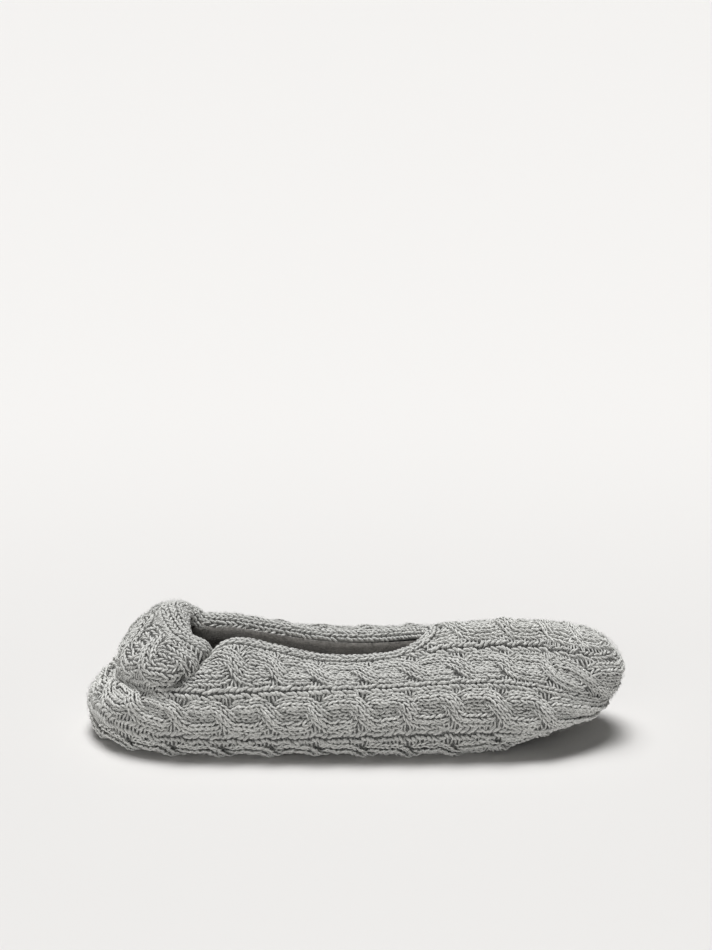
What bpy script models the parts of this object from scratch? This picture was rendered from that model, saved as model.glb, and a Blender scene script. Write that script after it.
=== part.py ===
"""Cable-knit house slipper: a knitted upper, its folded collar hem, a soft outsole and an insole.

The slipper points along +X and stands on z = 0. One function gives the knit's surface from two
coordinates: the way round the slipper from heel to toe, and the girth from the crown line of the
vamp down over the side to the middle of the sole.
"""
import math

import bpy
import numpy as np

MM = 0.001

# Driving sizes, in metres
LENGTH = 0.240
BALL_WIDTH = 0.088
HEEL_HEIGHT = 0.057
WALL = 0.0030
TOE_SPRING = 0.0125
ARCH_RISE = 0.0010
SOLE_BEVEL = 0.0008
INSOLE_THICKNESS = 0.0030
GAP = 0.0003
SOLE_GAP = 0.00045
KNIT_CLEARANCE = 0.0006
EDGE_ROUND = 0.0094

# The knit's girth plan, in metres from the top edge of the upper cable
CABLE_WIDTH = 0.018
RIB_ZONE = 0.006
REPEAT = CABLE_WIDTH + RIB_ZONE
CROWN_LINE = -RIB_ZONE - CABLE_WIDTH / 2
COLLAR_LINE = -0.001
JOINT_LINE = 0.066
CROSSING_STEP = 0.0208
FIRST_CROSSING = 0.0112
CABLE_RISE = 0.0026
CROSSING_SWELL = 0.14
STRAND_TWIST = 0.65
RIB_RISE = 0.0009
RIB_SPREAD = 0.0013
UNDER_START = 0.051
UNDER_END = 0.058
INSOLE_EDGE = 0.061
INSOLE_BULGE = 0.001

# Where the collar's straight edge ends and where its throat lies, along the way round
THROAT_START = 0.1440
THROAT_END = 0.1686

# The tables below are in millimetres for a last of these sizes, and stretch to the driving sizes
TABLE_LENGTH = 240.0
TABLE_WIDTH = 88.0
TABLE_HEIGHT = 57.0
LONG = LENGTH / TABLE_LENGTH
WIDE = BALL_WIDTH / TABLE_WIDTH
HIGH = HEEL_HEIGHT / TABLE_HEIGHT

# Folds of the section: their girth coordinate in millimetres
FOLD_GIRTH = {
    "crown": -15.0,
    "rim": -3.0,
    "shoulder": 21.0,
    "flank": 45.0,
    "corner": 52.5,
    "under": 60.0,
    "keel": 94.0,
}

# One row for each section of the last, in millimetres. The section stands on a spine point on the
# middle line and turns from sideways (0 degrees) to straight back at the heel or straight ahead at
# the toe (90 degrees). The spine of the heel leans forward towards its top.
PLACE_COLUMNS = ("spine", "turn", "lean", "crown", "keel")
PLACES = {
    "heel_back": (-84.0, -90.0, 17.0, -74.0, -92.0),
    "heel_turn": (-84.0, -45.0, 17.0, -73.0, -90.0),
    "heel_side": (-82.0, -13.0, 14.0, -68.0, -83.0),
    "seat": (-56.0, 0.0, 4.0, -52.0, -56.0),
    "waist": (-18.0, 0.0, 0.0, -18.0, -18.0),
    "throat": (20.0, 0.0, 0.0, 20.0, 20.0),
    "ball": (55.0, 0.0, 0.0, 55.0, 55.0),
    "toe_side": (82.0, 8.0, 0.0, 84.0, 77.0),
    "toe_corner": (82.0, 38.0, 0.0, 95.0, 80.0),
    "toe_turn": (82.0, 66.0, 0.0, 104.0, 81.5),
    "toe_front": (82.0, 90.0, 0.0, 109.0, 82.0),
}

# How far each fold reaches outward from the spine, and how far the corner swells past its round
REACH_COLUMNS = ("rim", "shoulder", "flank", "swell")
REACHES = {
    "heel_back": (17.0, 32.6, 38.5, 0.5),
    "heel_turn": (16.5, 32.6, 38.2, 0.5),
    "heel_side": (16.5, 35.0, 39.0, 0.5),
    "seat": (15.5, 36.5, 40.5, 0.0),
    "waist": (17.5, 37.3, 41.5, 0.0),
    "throat": (16.0, 36.3, 41.5, 0.0),
    "ball": (12.5, 34.0, 40.5, 0.0),
    "toe_side": (12.5, 31.5, 35.0, 0.0),
    "toe_corner": (21.0, 32.5, 30.0, 0.0),
    "toe_turn": (31.0, 32.5, 26.4, 0.0),
    "toe_front": (34.0, 31.3, 25.8, 0.0),
}

# How high each fold lies above the floor
HEIGHT_COLUMNS = ("crown", "rim", "shoulder", "flank")
HEIGHTS = {
    "heel_back": (57.5, 57.0, 35.8, 16.5),
    "heel_turn": (57.0, 54.0, 35.0, 14.5),
    "heel_side": (54.0, 50.5, 34.0, 11.5),
    "seat": (51.0, 47.6, 33.0, 10.0),
    "waist": (48.0, 42.4, 32.5, 10.8),
    "throat": (46.5, 42.6, 32.4, 12.0),
    "ball": (49.0, 43.0, 33.4, 12.5),
    "toe_side": (48.5, 42.0, 28.8, 12.0),
    "toe_corner": (46.5, 41.0, 23.5, 13.0),
    "toe_turn": (44.0, 38.3, 19.8, 14.0),
    "toe_front": (42.0, 35.6, 18.5, 14.2),
}

# The heel's gathers: a knob where the collar's pull puffs the knit out, and the crease before it
KNOB_PLACE = (0.0454, 0.006)
KNOB_SPREAD = (0.014, 0.011)
KNOB_RISE = 0.0035
CREASE_AT_RIM = 0.0704
CREASE_DRIFT = 0.40
CREASE_DEPTH = 0.0065
CREASE_BACK = 0.0040
CREASE_FRONT = 0.0095
CREASE_END = 0.022

# Where the sole's curve starts and ends, along X
SPRING_START = 0.050
SPRING_END = 0.112
ARCH_START = -0.040
ARCH_END = 0.005
ROLL_START = -0.092
ROLL_END = -0.120
HEEL_ROLL = 0.0010

# The hem's section in millimetres: how far past the upper's edge, how far out of the wall's face
HEM_SECTION = (
    (0.3, 0.3),
    (2.4, 1.1),
    (4.8, 0.3),
    (5.5, -1.9),
    (3.8, -5.6),
    (2.2, -8.8),
    (0.7, -8.2),
    (2.0, -4.7),
    (0.3, -3.1),
)

# How finely the faceted solids are cut: the collar rows run from the top edge to the first fixed row
COLUMN_STEP = 0.0062
THROAT_COLUMNS = 5
COLLAR_ROWS = 4
ROWS_IN_CABLE = 4
ROWS_IN_RIB = 2
INNER_COLLAR_ROWS = 4
INNER_FIXED_ROWS = (0.047, 0.054, 0.060, JOINT_LINE)

# Colours (linear), roughness
KNIT_GREY = (0.36, 0.36, 0.34)
HEM_GREY = (0.33, 0.33, 0.31)
SOLE_GREY = (0.20, 0.20, 0.19)
INSOLE_GREY = (0.14, 0.13, 0.125)
CLOTH_ROUGHNESS = 0.9

# Small lengths: the step that normals are measured over, and what counts as one place
NORMAL_STEP = 0.0004
SAME_PLACE = 1e-7
ON_MIDDLE = 1e-9


def clear_scene():
    for thing in list(bpy.data.objects):
        bpy.data.objects.remove(thing, do_unlink=True)


def smooth(value):
    """0 to 1 with level ends."""
    value = np.clip(value, 0.0, 1.0)
    return value * value * (3.0 - 2.0 * value)


def bell(value):
    return np.exp(-value * value)


def loop_basis(knots, period, at):
    """What each knot of a closed cubic spline adds at the given places: one row for each place."""
    knots = np.asarray(knots)
    count = len(knots)
    step = np.diff(np.append(knots, knots[0] + period))
    before = np.roll(step, 1)
    bend = np.zeros((count, count))
    pull = np.zeros((count, count))
    for i in range(count):
        last = (i - 1) % count
        following = (i + 1) % count
        bend[i, last] += before[i] / 6.0
        bend[i, i] += (before[i] + step[i]) / 3.0
        bend[i, following] += step[i] / 6.0
        pull[i, last] += 1.0 / before[i]
        pull[i, i] -= 1.0 / before[i] + 1.0 / step[i]
        pull[i, following] += 1.0 / step[i]
    second = np.linalg.solve(bend, pull)
    at = knots[0] + np.mod(np.asarray(at, dtype=float) - knots[0], period)
    low = np.clip(np.searchsorted(knots, at, side="right") - 1, 0, count - 1)
    high = (low + 1) % count
    size = step[low]
    right = (at - knots[low]) / size
    left = 1.0 - right
    unit = np.eye(count)
    curve_left = ((left**3 - left) * size**2 / 6.0)[:, None]
    curve_right = ((right**3 - right) * size**2 / 6.0)[:, None]
    straight = left[:, None] * unit[low] + right[:, None] * unit[high]
    return straight + curve_left * second[low] + curve_right * second[high]


def sole_line(x):
    """Height of the sole's underside: flat heel and forefoot, low arch, toe spring, rolled heel."""
    x = np.asarray(x, dtype=float)
    spring = TOE_SPRING * smooth((x - SPRING_START) / (SPRING_END - SPRING_START))
    along_arch = np.clip((x - ARCH_START) / (ARCH_END - ARCH_START), 0.0, 1.0)
    arch = ARCH_RISE * np.sin(math.pi * along_arch) ** 2
    roll = HEEL_ROLL * smooth((x - ROLL_START) / (ROLL_END - ROLL_START))
    return spring + arch + roll


def section_points(name):
    """The folds of one section, from crown to keel, on the -Y side, in metres."""
    place = dict(zip(PLACE_COLUMNS, PLACES[name]))
    reach = dict(zip(REACH_COLUMNS, REACHES[name]))
    height = dict(zip(HEIGHT_COLUMNS, HEIGHTS[name]))
    turn = math.radians(place["turn"])

    def point(out, up):
        lean = place["lean"] * LONG * up / HEEL_HEIGHT
        x = place["spine"] * LONG + lean + out * math.sin(turn)
        return (x, -out * math.cos(turn), up)

    points = [(place["crown"] * LONG, 0.0, height["crown"] * HIGH)]
    for fold in ("rim", "shoulder", "flank"):
        points.append(point(reach[fold] * WIDE, height[fold] * HIGH))
    flank_out = reach["flank"] * WIDE
    flank_up = height["flank"] * HIGH
    under_out = flank_out - EDGE_ROUND
    under_x = point(under_out, 0.0)[0]
    under_up = float(sole_line(under_x)) + KNIT_CLEARANCE
    diagonal = math.sin(math.pi / 4.0)
    corner_out = under_out + EDGE_ROUND * diagonal + reach["swell"] * WIDE
    points.append(point(corner_out, flank_up - (flank_up - under_up) * diagonal))
    points.append(point(under_out, under_up))
    keel_x = place["keel"] * LONG
    points.append((keel_x, 0.0, float(sole_line(keel_x)) + KNIT_CLEARANCE))
    return np.array(points)


def mirrored(points):
    return points * np.array((1.0, -1.0, 1.0))


def control_net():
    """Sections round the slipper by folds round the girth, both closed by their mirror images."""
    near = np.array([section_points(name) for name in PLACES])
    whole = np.concatenate((near, mirrored(near[-2:0:-1])))
    return np.concatenate((whole, mirrored(whole)[:, -2:0:-1]), axis=1)


NET = control_net()
SECTION_COUNT = len(PLACES)
GIRTHS = np.array(list(FOLD_GIRTH.values())) * MM
GIRTH_KNOTS = np.concatenate((GIRTHS, 2.0 * GIRTHS[-1] - GIRTHS[-2:0:-1]))
GIRTH_PERIOD = 2.0 * (GIRTHS[-1] - GIRTHS[0])
CORNER_LINE, UNDER_LINE, KEEL_LINE = GIRTHS[-3:]
PANEL_EDGE = JOINT_LINE + SOLE_GAP
PANEL_LINE = 0.5 * (KEEL_LINE + PANEL_EDGE)


def way_knots():
    """Distance round the slipper at each section, taken along the shoulder and flank folds."""
    steps = np.linalg.norm(np.diff(NET[:SECTION_COUNT], axis=0), axis=2)
    middle = 0.5 * (steps[:, 2] + steps[:, 3])
    near = np.concatenate(((0.0,), np.cumsum(middle)))
    return np.concatenate((near, 2.0 * near[-1] - near[-2:0:-1])), 2.0 * near[-1]


WAY_KNOTS, WAY_PERIOD = way_knots()
WAY_TOE = WAY_PERIOD / 2.0


def last_surface(way, girth):
    """Points of the smooth last."""
    along = loop_basis(WAY_KNOTS, WAY_PERIOD, way)
    around = loop_basis(GIRTH_KNOTS, GIRTH_PERIOD, girth)
    points = np.einsum("ni,nk,ikd->nd", along, around, NET)
    floor = sole_line(points[:, 0]) + KNIT_CLEARANCE
    beneath = smooth((girth - CORNER_LINE) / (UNDER_LINE - CORNER_LINE))
    points[:, 2] += (floor - points[:, 2]) * beneath
    return points


def outward(way, girth):
    """Unit normals of the smooth last, taken just beside its crown and keel where the sides close."""
    girth = np.clip(girth, CROWN_LINE + 3.0 * NORMAL_STEP, KEEL_LINE - 3.0 * NORMAL_STEP)
    ahead = last_surface(way + NORMAL_STEP, girth) - last_surface(way - NORMAL_STEP, girth)
    down = last_surface(way, girth + NORMAL_STEP) - last_surface(way, girth - NORMAL_STEP)
    normal = np.cross(down, ahead)
    return normal / np.linalg.norm(normal, axis=1)[:, None]


def gathers(way, girth):
    """How far the heel's knob stands out and its crease sinks in."""
    way = np.minimum(way, WAY_PERIOD - way)
    across = (way - KNOB_PLACE[0]) / KNOB_SPREAD[0]
    down = (girth - KNOB_PLACE[1]) / KNOB_SPREAD[1]
    knob = KNOB_RISE * bell(across) * bell(down)
    crease_way = CREASE_AT_RIM - CREASE_DRIFT * (girth - COLLAR_LINE)
    beside = way - crease_way
    width = np.where(beside < 0.0, CREASE_BACK, CREASE_FRONT)
    fade = 1.0 - smooth((girth - CREASE_END / 3.0) / (CREASE_END * 2.0 / 3.0))
    return knob - CREASE_DEPTH * bell(beside / width) * fade


def cable_rise(way, girth):
    """Height of the twisted cables and of the ribs between them over the purl ground."""
    way = np.minimum(way, WAY_PERIOD - way)
    from_rib = np.mod(girth + RIB_ZONE, REPEAT)
    across = np.clip(2.0 * (from_rib - RIB_ZONE) / CABLE_WIDTH - 1.0, -1.0, 1.0)
    dome = 1.0 - across * across
    turn = 2.0 * math.pi * (way - FIRST_CROSSING) / CROSSING_STEP
    swell = 1.0 + CROSSING_SWELL * np.cos(turn)
    cable = CABLE_RISE * dome * (swell + STRAND_TWIST * across * np.sin(turn))
    rib = RIB_RISE * bell((from_rib - RIB_ZONE / 2.0) / RIB_SPREAD)
    under = 1.0 - smooth((girth - UNDER_START) / (UNDER_END - UNDER_START))
    return np.where(from_rib < RIB_ZONE, rib, cable) * under


def knit_face(way, girth, lift):
    """Points on the knit, a lift above its base."""
    normal = outward(way, girth)
    rise = gathers(way, girth) + lift
    return last_surface(way, girth) + normal * rise[:, None]


def collar_girth(way):
    """Girth of the upper's top edge: the collar, its round throat, then the crown of the vamp."""
    way = np.minimum(way, WAY_PERIOD - way)
    share = np.clip((way - THROAT_START) / (THROAT_END - THROAT_START), 0.0, 1.0)
    arc = 1.0 - np.sqrt(1.0 - share * share)
    return COLLAR_LINE + (CROWN_LINE - COLLAR_LINE) * arc


def near_columns():
    """Places along the -Y side, heel to toe, closer together round the throat."""
    back = np.linspace(0.0, THROAT_START, int(round(THROAT_START / COLUMN_STEP)) + 1)
    angles = np.linspace(0.0, math.pi / 2.0, THROAT_COLUMNS + 1)[1:]
    arc = THROAT_START + (THROAT_END - THROAT_START) * np.sin(angles)
    front_count = int(round((WAY_TOE - THROAT_END) / COLUMN_STEP))
    front = np.linspace(THROAT_END, WAY_TOE, front_count + 1)[1:]
    return np.concatenate((back, arc, front)), len(back) + len(arc)


def halved(columns):
    """The same places with one more between each two."""
    finer = np.empty(2 * len(columns) - 1)
    finer[::2] = columns
    finer[1::2] = 0.5 * (columns[1:] + columns[:-1])
    return finer


COLUMNS, COLLAR_COLUMNS = near_columns()
FINE_COLUMNS = halved(COLUMNS)


def outer_fixed_rows():
    """Girth rows on the edges and along the strands of each cable, down to the joint."""
    rows = []
    start = 0.0
    while start < JOINT_LINE:
        cable = start + CABLE_WIDTH * np.arange(1, ROWS_IN_CABLE + 1) / ROWS_IN_CABLE
        rib = start + CABLE_WIDTH + RIB_ZONE * np.arange(1, ROWS_IN_RIB + 1) / ROWS_IN_RIB
        rows.extend(cable)
        rows.extend(rib)
        start += REPEAT
    return [row for row in rows if row < JOINT_LINE - SAME_PLACE] + [JOINT_LINE]


def middle_flat(points, way):
    """Puts the points of the heel's and the toe's middle line exactly on the middle plane."""
    on_middle = (way < ON_MIDDLE) | (np.abs(way - WAY_TOE) < ON_MIDDLE)
    points[on_middle, 1] = 0.0
    return points


def half_grid(columns, collar_rows, fixed_rows, face):
    """Points of one side by column and row: rows spread from the top edge, then rows of fixed girth."""
    share = np.linspace(0.0, 1.0, collar_rows + 1)
    top = collar_girth(columns)
    spread = top[:, None] + (fixed_rows[0] - top)[:, None] * share[None, :]
    fixed = np.tile(fixed_rows[1:], (len(columns), 1))
    girth = np.concatenate((spread, fixed), axis=1)
    way = np.repeat(columns, girth.shape[1])
    points = middle_flat(face(way, girth.ravel()), way).reshape(*girth.shape, 3)
    points[columns >= THROAT_END - ON_MIDDLE, 0, 1] = 0.0
    return points


def whole_loop(near):
    """Closes a half grid with its mirror image: heel, -Y side, toe, +Y side."""
    return np.concatenate((near, mirrored(near[-2:0:-1])))


def outer_face(way, girth):
    return knit_face(way, girth, cable_rise(way, girth))


def inner_face(way, girth):
    return knit_face(way, girth, np.full_like(way, -WALL))


class Body:
    """Collects points and faces of one closed solid, and welds points that share a place."""

    def __init__(self):
        self.points = []
        self.faces = []
        self.known = {}

    def point(self, place):
        key = tuple(int(round(value / SAME_PLACE)) for value in place)
        if key not in self.known:
            self.known[key] = len(self.points)
            self.points.append(tuple(float(value) for value in place))
        return self.known[key]

    def split_length(self, first, second):
        """Length of a diagonal, or endless if it would lie in the middle plane."""
        ends = np.array((self.points[first], self.points[second]))
        if np.all(np.abs(ends[:, 1]) < ON_MIDDLE):
            return math.inf
        return float(np.linalg.norm(ends[0] - ends[1]))

    def face(self, *places):
        corners = []
        for place in places:
            corner = self.point(place)
            if corner not in corners:
                corners.append(corner)
        if len(corners) == 4:
            if self.split_length(corners[0], corners[2]) > self.split_length(corners[1], corners[3]):
                corners = corners[1:] + corners[:1]
            self.faces.append((corners[0], corners[1], corners[2]))
            self.faces.append((corners[0], corners[2], corners[3]))
        elif len(corners) == 3:
            self.faces.append(tuple(corners))

    def lip(self, fine, coarse):
        """Three faces between two steps of a fine edge and one step of a coarse edge."""
        self.face(fine[0], coarse[0], fine[1])
        self.face(fine[1], coarse[0], coarse[1])
        self.face(fine[1], coarse[1], fine[2])

    def sheet(self, grid, turned=False):
        """Faces of a grid that is closed along its first axis."""
        count, rows = grid.shape[:2]
        for i in range(count):
            after = (i + 1) % count
            for j in range(rows - 1):
                quad = [grid[i, j], grid[i, j + 1], grid[after, j + 1], grid[after, j]]
                if turned:
                    quad.reverse()
                self.face(*quad)


def make_object(name, body, colour):
    mesh = bpy.data.meshes.new(name)
    mesh.from_pydata(body.points, [], body.faces)
    mesh.update()
    mesh.validate()
    mesh.polygons.foreach_set("use_smooth", [True] * len(mesh.polygons))
    thing = bpy.data.objects.new(name, mesh)
    bpy.context.scene.collection.objects.link(thing)
    material = bpy.data.materials.new(name)
    material.use_nodes = True
    shader = material.node_tree.nodes["Principled BSDF"]
    shader.inputs["Base Color"].default_value = (*colour, 1.0)
    shader.inputs["Roughness"].default_value = CLOTH_ROUGHNESS
    shader.inputs["Metallic"].default_value = 0.0
    mesh.materials.append(material)
    return thing


def build_upper():
    outer = whole_loop(half_grid(FINE_COLUMNS, COLLAR_ROWS, outer_fixed_rows(), outer_face))
    inner = whole_loop(half_grid(COLUMNS, INNER_COLLAR_ROWS, INNER_FIXED_ROWS, inner_face))
    body = Body()
    body.sheet(outer)
    body.sheet(inner, turned=True)
    count = len(inner)
    last_open = COLLAR_COLUMNS - 1
    for i in range(count):
        after = (i + 1) % count
        fine = [(2 * i + k) % len(outer) for k in range(3)]
        body.lip(outer[fine, -1], inner[[i, after], -1])
        if max(min(i, count - i), min(after, count - after)) <= last_open:
            body.lip(outer[fine[::-1], 0], inner[[after, i], 0])
    return make_object("upper", body, KNIT_GREY)


def hem_frames():
    """Edge points of the collar with the ways into the opening and out of the wall."""
    near = COLUMNS[:COLLAR_COLUMNS]
    girth = collar_girth(near)
    edge = middle_flat(knit_face(near, girth, np.zeros_like(near)), near)
    edge[-1, 1] = 0.0
    loop = np.concatenate((edge, mirrored(edge[-2:0:-1])))
    normal = outward(near, girth)
    normals = np.concatenate((normal, mirrored(normal[-2:0:-1])))
    along = np.roll(loop, -1, axis=0) - np.roll(loop, 1, axis=0)
    inward = np.cross(normals, along)
    inward /= np.linalg.norm(inward, axis=1)[:, None]
    return loop, inward, normals


def build_hem():
    edge, inward, normal = hem_frames()
    section = np.array(HEM_SECTION) * MM
    past = section[None, :, 0:1] * inward[:, None, :]
    out = section[None, :, 1:2] * normal[:, None, :]
    ring = edge[:, None, :] + past + out
    ring = np.concatenate((ring, ring[:, :1]), axis=1)
    body = Body()
    body.sheet(ring, turned=True)
    return make_object("collar_hem", body, HEM_GREY)


def layer_loop(girth, depth):
    """A line round the slipper at one girth, a depth inside the last."""
    line = np.full_like(COLUMNS, girth)
    near = last_surface(COLUMNS, line) - outward(COLUMNS, line) * depth
    near = middle_flat(near, COLUMNS)
    if girth >= KEEL_LINE:
        near[:, 1] = 0.0
    return whole_loop(near)


def ground_loop(girth):
    """The same line let down to the sole's underside."""
    loop = layer_loop(girth, 0.0)
    loop[:, 2] = sole_line(loop[:, 0])
    return loop


def build_outsole():
    """A panel inside the upper's turned-under edge, flush with the inside of its wall."""
    loops = (
        ground_loop(KEEL_LINE),
        ground_loop(PANEL_LINE),
        ground_loop(PANEL_EDGE + SOLE_BEVEL),
        layer_loop(PANEL_EDGE, 0.0),
        layer_loop(PANEL_EDGE, WALL),
        layer_loop(PANEL_LINE, WALL),
        layer_loop(KEEL_LINE, WALL),
    )
    body = Body()
    body.sheet(np.stack(loops, axis=1), turned=True)
    return make_object("outsole", body, SOLE_GREY)


def build_insole():
    """A pad that lies on the last's inside, from its middle line to its rounded edge."""
    low = WALL + GAP
    high = low + INSOLE_THICKNESS
    middle = 0.5 * (low + high)
    loops = (
        layer_loop(KEEL_LINE, low),
        layer_loop(PANEL_LINE, low),
        layer_loop(PANEL_EDGE, low),
        layer_loop(INSOLE_EDGE, low),
        layer_loop(INSOLE_EDGE - INSOLE_BULGE, middle),
        layer_loop(INSOLE_EDGE, high),
        layer_loop(PANEL_LINE, high),
        layer_loop(KEEL_LINE, high),
    )
    body = Body()
    body.sheet(np.stack(loops, axis=1), turned=True)
    return make_object("insole", body, INSOLE_GREY)


def main():
    clear_scene()
    build_outsole()
    build_insole()
    build_upper()
    build_hem()


main()
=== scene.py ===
"""Looks of a cable-knit slipper: its stitches, folded hem, fleece lining and soft sole, knitted as
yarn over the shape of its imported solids."""

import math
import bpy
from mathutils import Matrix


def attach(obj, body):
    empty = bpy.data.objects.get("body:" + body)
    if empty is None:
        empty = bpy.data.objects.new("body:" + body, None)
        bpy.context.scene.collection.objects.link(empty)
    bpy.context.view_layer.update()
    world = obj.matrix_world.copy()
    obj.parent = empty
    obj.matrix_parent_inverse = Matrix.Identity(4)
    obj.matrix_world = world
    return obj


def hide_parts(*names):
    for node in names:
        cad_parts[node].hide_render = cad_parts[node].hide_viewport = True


bl_info = {
    "name": "Cable-knit slipper",
    "version": (1, 0, 0),
    "blender": (4, 5, 0),
    "location": "3D View > Sidebar > Slipper",
    "description": "Knits the slipper's yarn, hem, lining and sole over its solids",
    "category": "Add Mesh",
}

from collections import namedtuple

import bpy
import numpy as np
from bpy.props import FloatProperty, FloatVectorProperty, IntProperty, PointerProperty

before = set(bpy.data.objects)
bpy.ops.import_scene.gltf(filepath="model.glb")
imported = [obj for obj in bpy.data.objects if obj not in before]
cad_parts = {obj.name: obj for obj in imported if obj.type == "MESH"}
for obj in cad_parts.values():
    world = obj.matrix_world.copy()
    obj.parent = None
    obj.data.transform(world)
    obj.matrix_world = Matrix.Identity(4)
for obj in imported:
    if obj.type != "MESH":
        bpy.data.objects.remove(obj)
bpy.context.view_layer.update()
MM = 0.001

# Driving sizes of the last, in metres, as in the solids
LENGTH = 0.240
BALL_WIDTH = 0.088
HEEL_HEIGHT = 0.057
WALL = 0.0030
TOE_SPRING = 0.0125
ARCH_RISE = 0.0010
KNIT_CLEARANCE = 0.0006
EDGE_ROUND = 0.0094

# The knit's plan: girths of its lines, and ways from the heel where it changes
CABLE_WIDTH = 0.018
RIB_ZONE = 0.006
REPEAT = CABLE_WIDTH + RIB_ZONE
CROWN_LINE = -RIB_ZONE - CABLE_WIDTH / 2
COLLAR_LINE = -0.001
JOINT_LINE = 0.066
TOE_FLAT = (0.195, 0.250)
TOE_RELIEF = 0.35
THROAT_START = 0.1440
THROAT_END = 0.1686

# The tables below are in millimetres for a last of these sizes
TABLE_LENGTH = 240.0
TABLE_WIDTH = 88.0
TABLE_HEIGHT = 57.0
LONG = LENGTH / TABLE_LENGTH
WIDE = BALL_WIDTH / TABLE_WIDTH
HIGH = HEEL_HEIGHT / TABLE_HEIGHT

FOLD_GIRTH = {
    "crown": -15.0,
    "rim": -3.0,
    "shoulder": 21.0,
    "flank": 45.0,
    "corner": 52.5,
    "under": 60.0,
    "keel": 94.0,
}
PLACE_COLUMNS = ("spine", "turn", "lean", "crown", "keel")
PLACES = {
    "heel_back": (-84.0, -90.0, 17.0, -74.0, -92.0),
    "heel_turn": (-84.0, -45.0, 17.0, -73.0, -90.0),
    "heel_side": (-82.0, -13.0, 14.0, -68.0, -83.0),
    "seat": (-56.0, 0.0, 4.0, -52.0, -56.0),
    "waist": (-18.0, 0.0, 0.0, -18.0, -18.0),
    "throat": (20.0, 0.0, 0.0, 20.0, 20.0),
    "ball": (55.0, 0.0, 0.0, 55.0, 55.0),
    "toe_side": (82.0, 8.0, 0.0, 84.0, 77.0),
    "toe_corner": (82.0, 38.0, 0.0, 95.0, 80.0),
    "toe_turn": (82.0, 66.0, 0.0, 104.0, 81.5),
    "toe_front": (82.0, 90.0, 0.0, 109.0, 82.0),
}
REACH_COLUMNS = ("rim", "shoulder", "flank", "swell")
REACHES = {
    "heel_back": (17.0, 32.6, 38.5, 0.5),
    "heel_turn": (16.5, 32.6, 38.2, 0.5),
    "heel_side": (16.5, 35.0, 39.0, 0.5),
    "seat": (15.5, 36.5, 40.5, 0.0),
    "waist": (17.5, 37.3, 41.5, 0.0),
    "throat": (16.0, 36.3, 41.5, 0.0),
    "ball": (12.5, 34.0, 40.5, 0.0),
    "toe_side": (12.5, 31.5, 35.0, 0.0),
    "toe_corner": (21.0, 32.5, 30.0, 0.0),
    "toe_turn": (31.0, 32.5, 26.4, 0.0),
    "toe_front": (34.0, 31.3, 25.8, 0.0),
}
HEIGHT_COLUMNS = ("crown", "rim", "shoulder", "flank")
HEIGHTS = {
    "heel_back": (57.5, 57.0, 35.8, 16.5),
    "heel_turn": (57.0, 54.0, 35.0, 14.5),
    "heel_side": (54.0, 50.5, 34.0, 11.5),
    "seat": (51.0, 47.6, 33.0, 10.0),
    "waist": (48.0, 42.4, 32.5, 10.8),
    "throat": (46.5, 42.6, 32.4, 12.0),
    "ball": (49.0, 43.0, 33.4, 12.5),
    "toe_side": (48.5, 42.0, 28.8, 12.0),
    "toe_corner": (46.5, 41.0, 23.5, 13.0),
    "toe_turn": (44.0, 38.3, 19.8, 14.0),
    "toe_front": (42.0, 35.6, 18.5, 14.2),
}

# The sole's curve along X: where its toe spring, arch and heel roll start and end
SPRING_SPAN = (0.050, 0.112)
ARCH_SPAN = (-0.040, 0.005)
ROLL_SPAN = (-0.092, -0.120)
HEEL_ROLL = 0.0010

# The folds are set one by one: a place is a middle and a spread, and a fade is a start and an end

# The heel's gathers: knob, the crease before it, and how far the knob hangs over the crease
KNOB_WAY = (0.0340, 0.017)
KNOB_GIRTH = (0.009, 0.011)
KNOB_RISE = 0.0048
CREASE_AT_RIM = 0.0575
CREASE_DRIFT = 0.50
CREASE_DEPTH = 0.0135
CREASE_BACK = 0.0035
CREASE_FRONT = 0.0112
CREASE_END = 0.024
FAR_CREASE = 0.12
OVERHANG = 0.0052
OVERHANG_PLACE = (-0.0040, 0.0045)

# The valley that follows the rib under the knob, round the heel, the swell below and the dent behind
VALLEY_GIRTH = (0.0235, 0.0060)
VALLEY_DEPTH = 0.0042
VALLEY_FADE = (0.022, 0.058)
SWELL_GIRTH = (0.0450, 0.0080)
SWELL_RISE = 0.0022
DENT_GIRTH = (0.0315, 0.0080)
DENT_DEPTH = 0.0060
DENT_FADE = (0.004, 0.034)

# Round the heel the knit slips down, and the crease notches the rim
SLIP = 0.0050
SLIP_GIRTH = (0.0210, 0.0130)
SLIP_FADE = (0.020, 0.160)
NOTCH = 0.0045
NOTCH_WAY = (0.0560, 0.0090)
NOTCH_FADE = (0.000, 0.012)

# The lower edge is tucked in, most of all at the heel and where the toe leaves the floor
TUCK_GIRTH = (0.0550, 0.0080)
TUCK_FADE = (0.055, 0.063)
EDGE_TUCK = 0.0016
HEEL_TUCK = 0.0016
HEEL_TUCK_FADE = (0.030, 0.085)
TOE_TUCK = 0.0032
TOE_TUCK_WAY = (0.203, 0.036)

# The collar sags behind its throat, and its near rim at the knob
RIM_DROP = 0.0036
RIM_DROP_WAY = (0.0320, 0.0190)
SAG = 0.0030
SAG_WAY = (0.132, 0.040)
SAG_FADE = (-0.002, 0.022)

# The hem's sections in millimetres: how far past the upper's edge, how far out of the wall's face
HEEL_SECTION = (
    (0.0, 0.2),
    (2.8, 0.4),
    (5.6, -0.2),
    (8.0, -1.6),
    (9.2, -4.5),
    (9.2, -8.0),
    (8.2, -8.4),
    (5.0, -4.6),
    (0.3, -2.6),
)
HEM_SECTION = (
    (0.0, 0.2),
    (2.2, 0.7),
    (4.2, 0.1),
    (5.2, -1.7),
    (5.6, -3.4),
    (5.5, -4.6),
    (4.6, -4.7),
    (3.4, -3.4),
    (0.3, -2.6),
)

# The base cloth's lattice
LATTICE_STEP = 0.0010
LATTICE_TOP = -0.026
LATTICE_END = 0.094
NORMAL_STEP = 0.0004


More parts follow.
